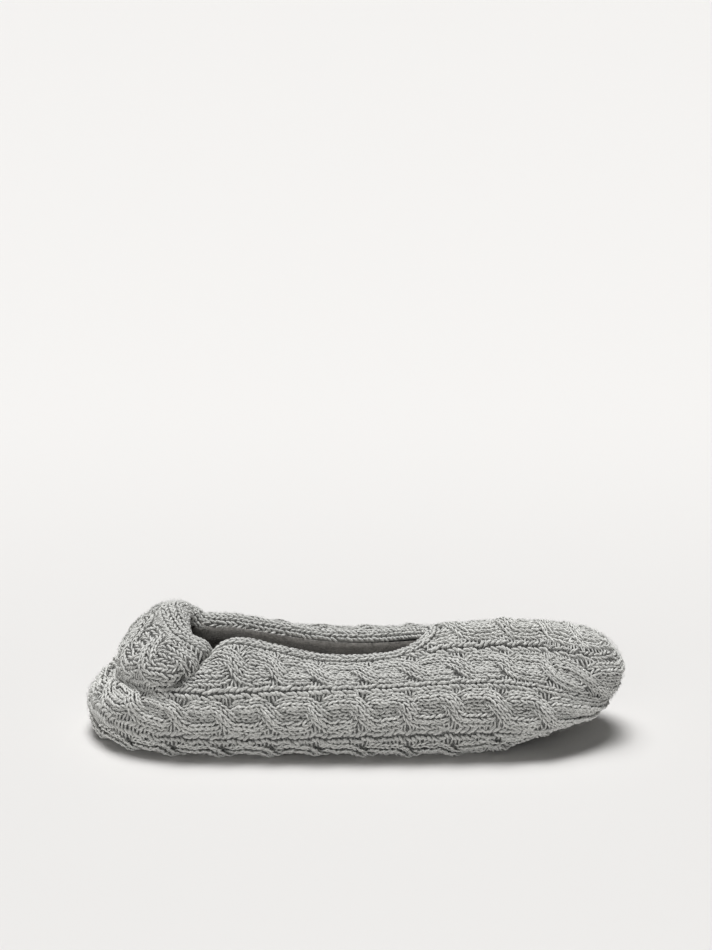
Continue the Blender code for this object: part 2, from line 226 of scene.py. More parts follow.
def share_of(value, span):
    """How far a value has come through a span, from 0 to 1."""
    return np.clip((value - span[0]) / (span[1] - span[0]), 0.0, 1.0)


def smooth(share):
    """A share from 0 to 1 with level ends."""
    return share * share * (3.0 - 2.0 * share)


def rising(value, span):
    """0 before a span and 1 past it."""
    return smooth(share_of(value, span))


def fading(value, span):
    """1 before a span and 0 past it."""
    return 1.0 - rising(value, span)


def bell(value):
    """1 at zero, dying away on both sides."""
    return np.exp(-value * value)


def hump(value, place):
    """A bell round a middle, with a spread."""
    return bell((value - place[0]) / place[1])


def unit(vectors):
    """Vectors scaled to a length of one."""
    length = np.linalg.norm(vectors, axis=-1, keepdims=True)
    return vectors / np.maximum(length, 1e-12)


def loop_basis(knots, period, at):
    """What each knot of a closed cubic spline adds at the given places: one row for each place."""
    knots = np.asarray(knots)
    count = len(knots)
    step = np.diff(np.append(knots, knots[0] + period))
    before = np.roll(step, 1)
    bend = np.zeros((count, count))
    pull = np.zeros((count, count))
    for i in range(count):
        last = (i - 1) % count
        following = (i + 1) % count
        bend[i, last] += before[i] / 6.0
        bend[i, i] += (before[i] + step[i]) / 3.0
        bend[i, following] += step[i] / 6.0
        pull[i, last] += 1.0 / before[i]
        pull[i, i] -= 1.0 / before[i] + 1.0 / step[i]
        pull[i, following] += 1.0 / step[i]
    second = np.linalg.solve(bend, pull)
    at = knots[0] + np.mod(np.asarray(at, dtype=float) - knots[0], period)
    low = np.clip(np.searchsorted(knots, at, side="right") - 1, 0, count - 1)
    high = (low + 1) % count
    size = step[low]
    right = (at - knots[low]) / size
    left = 1.0 - right
    whole = np.eye(count)
    curve_left = ((left**3 - left) * size**2 / 6.0)[:, None]
    curve_right = ((right**3 - right) * size**2 / 6.0)[:, None]
    straight = left[:, None] * whole[low] + right[:, None] * whole[high]
    return straight + curve_left * second[low] + curve_right * second[high]


def sole_line(x):
    """Height of the sole's underside along X."""
    x = np.asarray(x, dtype=float)
    arch = ARCH_RISE * np.sin(math.pi * share_of(x, ARCH_SPAN)) ** 2
    return TOE_SPRING * rising(x, SPRING_SPAN) + arch + HEEL_ROLL * rising(x, ROLL_SPAN)


def section_points(name):
    """The folds of one section, from crown to keel, on the -Y side, in metres."""
    place = dict(zip(PLACE_COLUMNS, PLACES[name]))
    reach = dict(zip(REACH_COLUMNS, REACHES[name]))
    height = dict(zip(HEIGHT_COLUMNS, HEIGHTS[name]))
    turn = math.radians(place["turn"])

    def point(out, up):
        lean = place["lean"] * LONG * up / HEEL_HEIGHT
        x = place["spine"] * LONG + lean + out * math.sin(turn)
        return (x, -out * math.cos(turn), up)

    points = [(place["crown"] * LONG, 0.0, height["crown"] * HIGH)]
    for fold in ("rim", "shoulder", "flank"):
        points.append(point(reach[fold] * WIDE, height[fold] * HIGH))
    flank_out = reach["flank"] * WIDE
    flank_up = height["flank"] * HIGH
    under_out = flank_out - EDGE_ROUND
    under_x = point(under_out, 0.0)[0]
    under_up = float(sole_line(under_x)) + KNIT_CLEARANCE
    diagonal = math.sin(math.pi / 4.0)
    corner_out = under_out + EDGE_ROUND * diagonal + reach["swell"] * WIDE
    points.append(point(corner_out, flank_up - (flank_up - under_up) * diagonal))
    points.append(point(under_out, under_up))
    keel_x = place["keel"] * LONG
    points.append((keel_x, 0.0, float(sole_line(keel_x)) + KNIT_CLEARANCE))
    return np.array(points)


def mirrored(points):
    """Points on the other side of the middle plane."""
    return points * np.array((1.0, -1.0, 1.0))


def control_net():
    """Sections round the slipper by folds round the girth, both closed by their mirror images."""
    near = np.array([section_points(name) for name in PLACES])
    whole = np.concatenate((near, mirrored(near[-2:0:-1])))
    return np.concatenate((whole, mirrored(whole)[:, -2:0:-1]), axis=1)


NET = control_net()
SECTION_COUNT = len(PLACES)
GIRTHS = np.array(list(FOLD_GIRTH.values())) * MM
GIRTH_KNOTS = np.concatenate((GIRTHS, 2.0 * GIRTHS[-1] - GIRTHS[-2:0:-1]))
GIRTH_PERIOD = 2.0 * (GIRTHS[-1] - GIRTHS[0])
CORNER_LINE, UNDER_LINE, KEEL_LINE = GIRTHS[-3:]


def way_knots():
    """Distance round the slipper at each section, taken along the shoulder and flank folds."""
    steps = np.linalg.norm(np.diff(NET[:SECTION_COUNT], axis=0), axis=2)
    middle = 0.5 * (steps[:, 2] + steps[:, 3])
    near = np.concatenate(((0.0,), np.cumsum(middle)))
    return np.concatenate((near, 2.0 * near[-1] - near[-2:0:-1])), 2.0 * near[-1]


WAY_KNOTS, WAY_PERIOD = way_knots()
WAY_TOE = WAY_PERIOD / 2.0


def from_heel(way):
    """Distance from the heel's middle along either side."""
    way = np.mod(way, WAY_PERIOD)
    return np.minimum(way, WAY_PERIOD - way)


def on_far_side(way):
    return np.mod(way, WAY_PERIOD) > WAY_TOE


def last_surface(way, girth):
    """Points of the smooth last."""
    along = loop_basis(WAY_KNOTS, WAY_PERIOD, way)
    around = loop_basis(GIRTH_KNOTS, GIRTH_PERIOD, girth)
    points = np.einsum("ni,nk,ikd->nd", along, around, NET, optimize=True)
    floor = sole_line(points[:, 0]) + KNIT_CLEARANCE
    points[:, 2] += (floor - points[:, 2]) * rising(girth, (CORNER_LINE, UNDER_LINE))
    return points


def outward(way, girth):
    """Unit normals of the smooth last, taken just beside its crown and keel where the sides close."""
    beside = CROWN_LINE + 3.0 * NORMAL_STEP
    girth = np.where(girth < CROWN_LINE, np.minimum(girth, 2.0 * CROWN_LINE - beside), girth)
    girth = np.where(girth >= CROWN_LINE, np.maximum(girth, beside), girth)
    girth = np.minimum(girth, KEEL_LINE - 3.0 * NORMAL_STEP)
    ahead = last_surface(way + NORMAL_STEP, girth) - last_surface(way - NORMAL_STEP, girth)
    down = last_surface(way, girth + NORMAL_STEP) - last_surface(way, girth - NORMAL_STEP)
    return unit(np.cross(down, ahead))


def crease_share(way):
    """How much of the crease each side has: all of it on the near side, little on the far one."""
    return np.where(on_far_side(way), FAR_CREASE, 1.0)


def gathers(way, girth):
    """The given folds: how far they stand out, and how far they hang towards the toe."""
    creased = crease_share(way)
    way = from_heel(way)
    knob = KNOB_RISE * hump(way, KNOB_WAY) * hump(girth, KNOB_GIRTH)
    crease_way = CREASE_AT_RIM - CREASE_DRIFT * (girth - COLLAR_LINE)
    beside = way - crease_way
    width = np.where(beside < 0.0, CREASE_BACK, CREASE_FRONT)
    fade = fading(girth, (CREASE_END / 3.0, CREASE_END)) * creased
    crease = CREASE_DEPTH * bell(beside / width) * fade
    push = OVERHANG * hump(beside, OVERHANG_PLACE) * fade
    valley = VALLEY_DEPTH * hump(girth, VALLEY_GIRTH) - SWELL_RISE * hump(girth, SWELL_GIRTH)
    dent = DENT_DEPTH * hump(girth, DENT_GIRTH) * fading(way, DENT_FADE)
    valley = valley * fading(way, VALLEY_FADE) + dent
    toe_tuck = TOE_TUCK * hump(way, TOE_TUCK_WAY)
    tuck = EDGE_TUCK + HEEL_TUCK * fading(way, HEEL_TUCK_FADE) + toe_tuck
    tuck = tuck * hump(girth, TUCK_GIRTH) * fading(girth, TUCK_FADE)
    return knob - crease - valley - tuck, push


def sag(way, girth):
    """How far the collar droops, and its rim at the crease."""
    creased = crease_share(way)
    way = from_heel(way)
    droop = SAG * hump(way, SAG_WAY) * fading(girth, SAG_FADE)
    notch = NOTCH * hump(way, NOTCH_WAY) * fading(girth, NOTCH_FADE)
    drop = RIM_DROP * hump(way, RIM_DROP_WAY) * fading(girth, SAG_FADE)
    return droop + creased * (notch + drop)


def slipped(way, girth):
    """Where the last carries each place of the knit, which slips down round the heel."""
    slip = SLIP * hump(girth, SLIP_GIRTH)
    return girth + slip * fading(from_heel(way), SLIP_FADE)


def fabric(way, girth):
    """Points of the base cloth: the last with its gathers and its sag."""
    held = slipped(way, girth)
    base = last_surface(way, held)
    ahead = unit(last_surface(way + NORMAL_STEP, held) - last_surface(way - NORMAL_STEP, held))
    towards_toe = np.where(on_far_side(way), -1.0, 1.0)
    rise, push = gathers(way, girth)
    moved = base + outward(way, held) * rise[:, None] + ahead * (push * towards_toe)[:, None]
    moved[:, 2] -= sag(way, girth)
    return moved


def collar_girth(way):
    """Girth of the upper's top edge: the collar, its round throat, then the crown of the vamp."""
    share = share_of(from_heel(way), (THROAT_START, THROAT_END))
    arc = 1.0 - np.sqrt(1.0 - share * share)
    return COLLAR_LINE + (CROWN_LINE - COLLAR_LINE) * arc


class Cloth:
    """The base cloth as a fine lattice of points and normals over way and girth."""

    def __init__(self):
        self.way_count = int(round(WAY_PERIOD / LATTICE_STEP))
        self.way_step = WAY_PERIOD / self.way_count
        self.girth_count = int(round((LATTICE_END - LATTICE_TOP) / LATTICE_STEP))
        self.girth_step = (LATTICE_END - LATTICE_TOP) / self.girth_count
        ways = self.way_step * np.arange(-2, self.way_count + 3)
        girths = LATTICE_TOP + self.girth_step * np.arange(self.girth_count + 1)
        way, girth = np.meshgrid(ways, girths, indexing="ij")
        points = fabric(way.ravel(), girth.ravel()).reshape(*way.shape, 3)
        normals = unit(np.cross(np.gradient(points, axis=1), np.gradient(points, axis=0)))
        spread = np.pad(normals, ((1, 1), (1, 1), (0, 0)), mode="edge")
        rows, columns = way.shape
        blurred = sum(spread[i : i + rows, j : j + columns] for i in range(3) for j in range(3))
        self.points = points[2:-2]
        self.normals = unit(blurred[2:-2])

    def place(self, way, girth, lift):
        """Points a lift above the cloth, and the cloth's normals there."""
        column = np.mod(way, WAY_PERIOD) / self.way_step
        row = np.clip((girth - LATTICE_TOP) / self.girth_step, 0.0, self.girth_count - 1e-6)
        i = np.minimum(column.astype(int), self.way_count - 1)
        j = row.astype(int)
        right = (column - i)[..., None]
        low = (row - j)[..., None]

        def blend(table):
            upper = table[i, j] * (1.0 - right) + table[i + 1, j] * right
            lower = table[i, j + 1] * (1.0 - right) + table[i + 1, j + 1] * right
            return upper * (1.0 - low) + lower * low

        normals = unit(blend(self.normals))
        return blend(self.points) + normals * lift[..., None], normals


CLOTH = Cloth()


def length_property(name, description, default):
    return FloatProperty(name=name, description=description, default=default, unit="LENGTH")


def colour_property(name, description, default):
    return FloatVectorProperty(name=name, description=description, default=default, subtype="COLOR")


class SlipperSizes(bpy.types.PropertyGroup):
    """Sizes of the yarn and its stitches."""

    wale_width: length_property("Wale width", "Width of one column of stitches", 0.0030)
    stitch_step: length_property("Stitch step", "Length of one stitch along its column", 0.00245)
    yarn_radius: length_property("Yarn radius", "Half the yarn's thickness", 0.00053)
    strand_lift: length_property("Strand lift", "Height of a cable's strands", 0.0006)
    strand_dome: length_property("Strand dome", "How far a strand's middle column stands up", 0.0013)
    crossing_lift: length_property("Crossing lift", "Rise of the upper strand at a crossing", 0.0018)
    fibre_length: length_property("Fibre length", "Length of the loose fibres", 0.0028)
    fibre_count: IntProperty(name="Fibre count", description="Number of loose fibres", default=15000)


class SlipperColours(bpy.types.PropertyGroup):
    """Colours of the yarn, lining, sole and stage."""

    yarn_light: colour_property("Light yarn", "Pale fibres of the heather yarn", (0.98, 0.98, 0.943))
    yarn_dark: colour_property("Dark yarn", "Dark fibres of the heather yarn", (0.66, 0.66, 0.631))
    lining: colour_property("Lining", "Fleece inside the slipper", (0.63, 0.608, 0.576))
    sole: colour_property("Sole", "Brushed cloth of the outsole", (0.10, 0.10, 0.095))
    floor: colour_property("Floor", "Studio floor", (0.734, 0.723, 0.710))


class Wire:
    """One socket of a finish, so that shader maths reads as Python."""

    def __init__(self, finish, socket):
        self.finish = finish
        self.socket = socket

    def maths(self, operation, first, second):
        return self.finish.node("ShaderNodeMath", {"operation": operation}, {0: first, 1: second})

    def __add__(self, other):
        return self.maths("ADD", self, other)

    def __radd__(self, other):
        return self.maths("ADD", other, self)

    def __sub__(self, other):
        return self.maths("SUBTRACT", self, other)

    def __rsub__(self, other):
        return self.maths("SUBTRACT", other, self)

    def __mul__(self, other):
        return self.maths("MULTIPLY", self, other)

    def __rmul__(self, other):
        return self.maths("MULTIPLY", other, self)


# How all the materials shine
SPECULAR = 0.2
SHEEN_ROUGHNESS = 0.6

# The Mix node's sockets for colours
MIX_LOW = 6
MIX_HIGH = 7
MIX_RESULT = 2


class Finish:
    """A material and the nodes that make its surface."""

    def __init__(self, name, roughness, sheen=0.0):
        self.material = bpy.data.materials.new(name)
        self.material.use_nodes = True
        self.tree = self.material.node_tree
        self.shader = self.tree.nodes["Principled BSDF"]
        self.shader.inputs["Roughness"].default_value = roughness
        self.shader.inputs["Specular IOR Level"].default_value = SPECULAR
        self.shader.inputs["Sheen Weight"].default_value = sheen
        self.shader.inputs["Sheen Roughness"].default_value = SHEEN_ROUGHNESS

    def give(self, socket, value):
        """Links a socket to a wire, or sets its value."""
        if isinstance(value, Wire):
            self.tree.links.new(value.socket, socket)
        else:
            socket.default_value = value

    def node(self, kind, settings=None, inputs=None, output=0):
        """Adds a node, sets it, feeds its sockets and returns one output."""
        node = self.tree.nodes.new(kind)
        for name, value in (settings or {}).items():
            setattr(node, name, value)
        for key, value in (inputs or {}).items():
            self.give(node.inputs[key], value)
        return Wire(self, node.outputs[output])

    def attribute(self, name):
        return self.node("ShaderNodeAttribute", {"attribute_name": name}, output="Fac")

    def place(self):
        return self.node("ShaderNodeTexCoord", output="Object")

    def sine(self, angle):
        return self.node("ShaderNodeMath", {"operation": "SINE"}, {0: angle})

    def noise(self, scale, detail=2.0, stretch=None):
        where = self.place()
        if stretch:
            where = self.node("ShaderNodeVectorMath", {"operation": "MULTIPLY"}, {0: where, 1: stretch})
        return self.node("ShaderNodeTexNoise", None, {"Vector": where, "Scale": scale, "Detail": detail})

    def mix(self, share, low, high):
        """A colour between two colours."""
        ends = {0: share, MIX_LOW: low, MIX_HIGH: high}
        return self.node("ShaderNodeMix", {"data_type": "RGBA"}, ends, MIX_RESULT)

    def surface(self, colour, height, depth):
        """Feeds the shader its colour, and its bump of a depth in metres."""
        self.give(self.shader.inputs["Base Color"], colour)
        bump = self.node("ShaderNodeBump", None, {"Height": height, "Distance": depth})
        self.give(self.shader.inputs["Normal"], bump)
        return self.material


def shaded(colour, shade=1.0):
    """A colour made lighter or darker, for a node's socket."""
    return (*(shade * value for value in colour), 1.0)


# How fine each grain is, and how deep the bumps are
FIBRE_GRAIN = 2600.0
PATCH_GRAIN = 240.0
DRIFT_GRAIN = 420.0
PILE_GRAIN = 900.0
TUFT_GRAIN = 310.0
WEAVE_GRAIN = 420.0
WEAVE_STRETCH = 6.0
YARN_BUMP = 0.00018
GROUND_BUMP = 0.0006
PILE_BUMP = 0.0009
WEAVE_BUMP = 0.0004

# The purl ground's courses and wales, how far they drift, how far a bar bends, and the painted shade of
# its hollows
GROUND_COURSE = 0.0017
GROUND_WALE = 0.0030
GROUND_DRIFT = 2.0
GROUND_BEND = 1.6
GROUND_HOLLOW_PAINTED_SHADE = 0.45

# Shades of the fleece's pile and of the sole's weave, and the painted shade of the fleece low down in the
# slipper
PILE_SHADES = (0.45, 1.55)
WEAVE_SHADES = (0.40, 1.60)
PAINTED_LINING_SHADE = 0.32


def yarn_finish(name, colours, shade):
    """Heather yarn: pale and dark fibres twisted together."""
    finish = Finish(name, roughness=0.92, sheen=0.35)
    tone = finish.attribute("tone")
    twist = finish.attribute("twist")
    fibres = finish.noise(FIBRE_GRAIN, 3.0)
    patches = finish.noise(PATCH_GRAIN)
    ply = finish.sine(twist * (2.0 * math.pi))
    share = 0.45 * fibres + 0.35 * tone + 0.20 * patches + 0.10 * ply
    # Painted light and shade: the shade makes this piece's copy of the one yarn lighter or darker
    colour = finish.mix(share, shaded(colours.yarn_dark, shade), shaded(colours.yarn_light, shade))
    return finish.surface(colour, 0.6 * ply + 0.8 * fibres, YARN_BUMP)


def ground_finish(name, colours, shade):
    """Purl side of the knit: rows of bars, which bend to and fro from wale to wale, with painted shade in
    the hollows between them.
    """
    finish = Finish(name, roughness=0.95, sheen=0.35)
    course = finish.attribute("way") * (2.0 * math.pi / GROUND_COURSE)
    wale = finish.attribute("girth") * (2.0 * math.pi / GROUND_WALE)
    drift = finish.noise(DRIFT_GRAIN) * GROUND_DRIFT
    sideways = finish.sine(wale + drift)
    bars = finish.sine(course + GROUND_BEND * sideways + drift)
    height = 0.5 + 0.5 * bars
    fibres = finish.noise(FIBRE_GRAIN, 3.0)
    # Painted shade: the hollows between the bars are darkened, and the whole ground by its shade
    dark = shaded(colours.yarn_dark, GROUND_HOLLOW_PAINTED_SHADE * shade)
    colour = finish.mix(0.65 * height + 0.35 * fibres, dark, shaded(colours.yarn_light, shade))
    return finish.surface(colour, height + 0.4 * fibres, GROUND_BUMP)


def fleece_finish(name, colour):
    """Short looped pile with a mottled tone, and painted shade that darkens it low down in the slipper.
    """
    finish = Finish(name, roughness=0.95, sheen=0.45)
    pile = finish.noise(PILE_GRAIN, 3.0)
    tufts = finish.noise(TUFT_GRAIN)
    share = 1.1 * pile + 0.9 * tufts - 0.5
    low, high = PILE_SHADES
    bright = finish.mix(share, shaded(colour, low), shaded(colour, high))
    # Painted shade: a darker copy of the pile, mixed in low down in the slipper
    painted_dim = finish.mix(share, shaded(colour, PAINTED_LINING_SHADE * low), shaded(colour, PAINTED_LINING_SHADE * high))
    mottled = finish.mix(finish.attribute("painted_shade"), bright, painted_dim)
    return finish.surface(mottled, 0.7 * pile + 0.5 * tufts, PILE_BUMP)


def sole_finish(colour):
    """Brushed cloth with a fine crossed weave."""
    finish = Finish("outsole_cloth", roughness=0.9, sheen=0.2)
    across = finish.noise(WEAVE_GRAIN, stretch=(1.0, WEAVE_STRETCH, 1.0))
    along = finish.noise(WEAVE_GRAIN, stretch=(WEAVE_STRETCH, 1.0, 1.0))
    weave = 0.5 * across + 0.5 * along
    low, high = WEAVE_SHADES
    return finish.surface(finish.mix(weave, shaded(colour, low), shaded(colour, high)), weave, WEAVE_BUMP)


def new_piece(name, points, faces, material, tables=None):
    """A smooth-shaded mesh object from arrays, riding on the slipper."""
    if not len(faces):
        raise ValueError(name + " has no faces")
    mesh = bpy.data.meshes.new(name)
    sides = faces.shape[1]
    mesh.vertices.add(len(points))
    mesh.vertices.foreach_set("co", np.ascontiguousarray(points, dtype=np.float32).ravel())
    mesh.loops.add(faces.size)
    mesh.loops.foreach_set("vertex_index", np.ascontiguousarray(faces, dtype=np.int32).ravel())
    mesh.polygons.add(len(faces))
    mesh.polygons.foreach_set("loop_start", np.arange(0, faces.size, sides, dtype=np.int32))
    mesh.polygons.foreach_set("use_smooth", np.ones(len(faces), dtype=bool))
    for key, values in (tables or {}).items():
        table = mesh.attributes.new(key, "FLOAT", "POINT")
        table.data.foreach_set("value", np.ascontiguousarray(values, dtype=np.float32).ravel())
    mesh.update(calc_edges=True)
    mesh.validate()
    mesh.materials.append(material)
    piece = bpy.data.objects.new(name, mesh)
    bpy.context.scene.collection.objects.link(piece)
    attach(piece, "root")
    return piece


def cover(name, material):
    """Gives one of the solids its material."""
    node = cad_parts[name]
    node.data.materials.clear()
    node.data.materials.append(material)
    return node


# One leg of a stitch: where its rings lie, its ends in steps, its usual reach, its arch and its tip
RING_SHARES = np.array((0.0, 0.10, 0.32, 0.55, 0.78, 0.92, 1.0))
RING_SIDES = 5
LEG_START = -0.30
LEG_END = 1.15
LEG_REACH = (0.24, 0.82)
LEG_ARCH = 0.00060
LEG_DROP = 0.4
LEG_TIP = 0.40

# How uneven the legs are in place, slant, reach, arch and radius
UNEVEN_PLACE = 0.12
UNEVEN_SLANT = 0.22
UNEVEN_REACH = 0.08
UNEVEN_ARCH = 0.25
UNEVEN_RADIUS = 0.14

# A yarn's size: its stitches' step, its wale's width, its radius and its legs' reach in half wales
YarnSize = namedtuple("YarnSize", "step width radius reach")

# The yarn's plies, and how often they turn along a leg
PLIES = 2.0
PLY_TURNS = 1.6

# A stitch that would reach below the sole's underside is lifted to this height over it
FLOOR_GAP = 0.0001

# Each knitted piece's random seed, and how light its yarn is: painted light and shade, the one yarn made
# lighter or darker piece by piece for how light falls on it
SEEDS_AND_PAINTED_SHADES = {
    "vamp_cable": (11, 0.98),
    "collar_cables": (12, 0.88),
    "side_cables": (13, 0.92),
    "edge_cables": (14, 1.02),
    "ribs": (31, 0.84),
    "purl_bars": (32, 0.80),
    "hem_stitches": (41, 0.83),
    "fibres": (51, 1.15),
    "heel_seam": (61, 1.0),
    "toe_seam": (62, 1.0),
}
# Painted shade: the purl grounds under the stitches are darker copies of the yarn, for the shade between
# the stitches
GROUND_PAINTED_SHADE = 0.52
HEM_GROUND_PAINTED_SHADE = 0.40


class Yarn:
    """Collects a piece's tapered yarn legs as arrays, and joins them into one mesh."""

    def __init__(self, name):
        self.name = name
        seed, self.shade = SEEDS_AND_PAINTED_SHADES[name]
        self.random = np.random.default_rng(seed)
        self.legs = []

    def add(self, centres, normals, radii):
        self.legs.append((centres, normals, radii))

    def arrays(self, sides):
        """Points, triangles, and each point's tone and twist."""
        centres, normals, radii = (np.concatenate(group) for group in zip(*self.legs))
        count, rings = centres.shape[:2]
        along = unit(np.gradient(centres, axis=1))
        side = unit(np.cross(along, normals))
        up = np.cross(side, along)
        angle = 2.0 * math.pi * (np.arange(sides) + 0.5) / sides
        ring = side[:, 1:-1, None] * np.cos(angle)[:, None] + up[:, 1:-1, None] * np.sin(angle)[:, None]
        body = centres[:, 1:-1, None] + ring * radii[:, 1:-1, None, None]
        body = body.reshape(count, (rings - 2) * sides, 3)
        points = np.concatenate((centres[:, :1], body, centres[:, -1:]), axis=1)
        faces = leg_faces(rings - 2, sides)
        starts = points.shape[1] * np.arange(count)
        faces = (faces[None] + starts[:, None, None]).reshape(-1, 3)
        tone = np.repeat(self.random.random(count), points.shape[1])
        turns = np.add.outer(PLY_TURNS * np.arange(rings - 2) / rings, np.arange(sides) / sides).ravel()
        twist = np.concatenate(((0.0,), turns, (PLY_TURNS,)))
        twist = np.tile(twist, count) + np.repeat(self.random.random(count), len(twist))
        sunk = sole_line(points[..., 0]) + FLOOR_GAP - points[..., 2]
        points[..., 2] += np.maximum(sunk.max(axis=1, keepdims=True), 0.0)
        return points.reshape(-1, 3), faces, {"tone": tone, "twist": PLIES * twist}

    def piece(self, colours, sides=RING_SIDES):
        """The mesh object of all its legs."""
        points, faces, tables = self.arrays(sides)
        material = yarn_finish(self.name + "_yarn", colours, self.shade)
        return new_piece(self.name, points, faces, material, tables)


def leg_faces(rings, sides):
    """Triangles of one closed leg: a fan, bands of rings and a fan."""
    faces = []
    last = 1 + rings * sides
    for k in range(sides):
        after = (k + 1) % sides
        faces.append((0, 1 + k, 1 + after))
        for r in range(rings - 1):
            low = 1 + r * sides
            high = low + sides
            faces.append((low + k, high + k, high + after))
            faces.append((low + k, high + after, low + after))
        faces.append((last, last - sides + after, last - sides + k))
    return np.array(faces)


# How finely lines are drawn, and how finely they are measured on the cloth
LINE_STEP = 0.0002
MEASURE_STEP = 0.0004


# Most lines are knitted on both sides, and those at the slipper's middle once
BOTH_SIDES = ("near", "far")
ONCE = ("near",)


def on_side(way, side):
    """The same place on the near or the far side."""
    return WAY_PERIOD - way if side == "far" else way


class Path:
    """A line on the flat knit, measured along its length: way, girth, lift and how its wales spread."""

    def __init__(self, way, girth, lift, spread):
        self.way = way
        self.girth = girth
        self.lift = lift
        self.spread = spread
        steps = np.hypot(np.diff(way), np.diff(girth))
        self.length = np.concatenate(((0.0,), np.cumsum(steps)))
        self.turn_way = np.gradient(way, self.length)
        self.turn_girth = np.gradient(girth, self.length)

    def read(self, values, length):
        return np.interp(length, self.length, values)

    def at(self, length, aside):
        """Way, girth and lift at lengths along the line, moved aside across it."""
        aside = aside * self.read(self.spread, length)
        way = self.read(self.way, length) - self.read(self.turn_girth, length) * aside
        girth = self.read(self.girth, length) + self.read(self.turn_way, length) * aside
        return way, girth, self.read(self.lift, length)

    def measure(self, offset, side):
        """Lengths along the line on the flat knit, and the real lengths there on the cloth."""
        flat = np.linspace(0.0, self.length[-1], int(self.length[-1] / MEASURE_STEP))
        way, girth, lift = self.at(flat, np.full_like(flat, offset))
        points, _ = CLOTH.place(on_side(way, side), girth, lift)
        steps = np.linalg.norm(np.diff(points, axis=0), axis=1)
        return flat, np.concatenate(((0.0,), np.cumsum(steps)))


def stitch_legs(random, starts, size):
    """Lengths along a wale, offsets across it, arch and radius of both legs of each stitch."""
    share = RING_SHARES
    near, far = size.reach

    def uneven(amount):
        return amount * (2.0 * random.random((len(starts), 1)) - 1.0)

    legs = []
    for sign in (-1.0, 1.0):
        steps = LEG_START + (LEG_END - LEG_START) * share + uneven(UNEVEN_PLACE)
        along = starts[:, None] + size.step * steps
        slant = far - near + uneven(UNEVEN_SLANT)
        aside = 0.5 * size.width * (near + uneven(UNEVEN_REACH) + slant * smooth(share))
        arch = LEG_ARCH * (np.sin(math.pi * share) - LEG_DROP * share + uneven(UNEVEN_ARCH))
        taper = LEG_TIP + (1.0 - LEG_TIP) * np.sqrt(np.maximum(np.sin(math.pi * share), 0.0))
        sized = size.radius * (1.0 + uneven(UNEVEN_RADIUS)) * taper
        legs.append((along, sign * aside, arch, sized))
    return [np.concatenate(group) for group in zip(*legs)]


def knit_wale(yarn, path, offset, size, lift=0.0, sides=BOTH_SIDES, keep=None):
    """Lays the stitches of one wale along a path, on one or both sides of the slipper."""
    for side in sides:
        flat, real = path.measure(offset, side)
        count = int(real[-1] / size.step)
        starts = np.linspace(-LEG_START * size.step, real[-1] - LEG_END * size.step, count)
        along, aside, arch, sized = stitch_legs(yarn.random, starts, size)
        along = np.interp(along, real, flat)
        way, girth, base = path.at(along, aside + offset)
        raised = base + lift + arch
        middle = RING_SHARES.size // 2
        shown = np.ones(len(way), dtype=bool)
        if keep is not None:
            shown = keep(way[:, middle], girth[:, middle])
        way = on_side(way[shown], side)
        centres, normals = CLOTH.place(way, girth[shown], raised[shown])
        yarn.add(centres, normals, (sized * path.read(path.spread, along))[shown])


# The crease draws the collar's crossings behind it back and those before it on: size, and place
CREASE_DRAWS = ((0.0040, (0.0480, 0.0110)), (-0.0045, (0.0800, 0.0200)))

# A strand's path: how steeply it crosses, how it narrows and sinks there, and how it wavers
STEEPNESS = 0.15
CROSSING_SQUEEZE = 0.13
STRAND_SHIFT = CABLE_WIDTH / 4
UNDER_RELIEF = 0.9
HIDDEN_FROM = 0.75
LIFT_WAVER = 0.0004
GIRTH_WAVER = 0.0005
WAVER_LENGTHS = (0.0071, 0.0117, 0.0193)


def waver(random, way, size):
    """A slow unevenness along a line."""
    total = np.zeros_like(way)
    for wave in WAVER_LENGTHS:
        total = total + np.sin(2.0 * math.pi * (way / wave + random.random()))
    return size * total / len(WAVER_LENGTHS)


def strand_path(random, cable, strand, start, end, sizes):
    """One strand of a two-strand cable: it crosses over and under its neighbour by turns."""
    middle, first, step, relief, last = CABLES[cable]
    way = np.linspace(start, end, int((end - start) / LINE_STEP))
    drawn = np.zeros_like(way)
    if cable == "collar_cables":
        for draw, place in CREASE_DRAWS:
            drawn = drawn + draw * hump(way, place)
    cycle = (way + drawn - first) / step
    nearest = np.round(cycle)
    turn = math.pi * (cycle - nearest)
    swing = (np.sin(turn) + STEEPNESS * np.sin(3.0 * turn)) / (1.0 - STEEPNESS)
    nearest = np.minimum(nearest, last + 1)
    swing = np.where(nearest > last, -1.0, swing)
    over = np.where((nearest + strand) % 2 == 0, 1.0, -1.0)
    girth = middle + STRAND_SHIFT * swing * over
    crossing = 1.0 - swing * swing
    flat = TOE_RELIEF + (1.0 - TOE_RELIEF) * fading(way, TOE_FLAT)
    rise = np.where(over > 0, relief, -UNDER_RELIEF) * sizes.crossing_lift * crossing * flat
    hidden = (over < 0) & (crossing > HIDDEN_FROM)
    lift = sizes.strand_lift + rise + waver(random, way, LIFT_WAVER)
    girth = girth + waver(random, way, GIRTH_WAVER)
    return Path(way, girth, lift, 1.0 - CROSSING_SQUEEZE * crossing), hidden


def below_collar(margin):
    """Tells which places lie under the collar's edge by a margin, or ahead of its throat."""

    def keep(way, girth):
        mirror = np.where(girth < CROWN_LINE, 2.0 * CROWN_LINE - girth, girth)
        return (mirror > collar_girth(way) + margin) | (way > THROAT_END + margin)

    return keep


def cable_yarn(sizes):
    """Size of the cables' yarn."""
    return YarnSize(sizes.stitch_step, sizes.wale_width, sizes.yarn_radius, LEG_REACH)


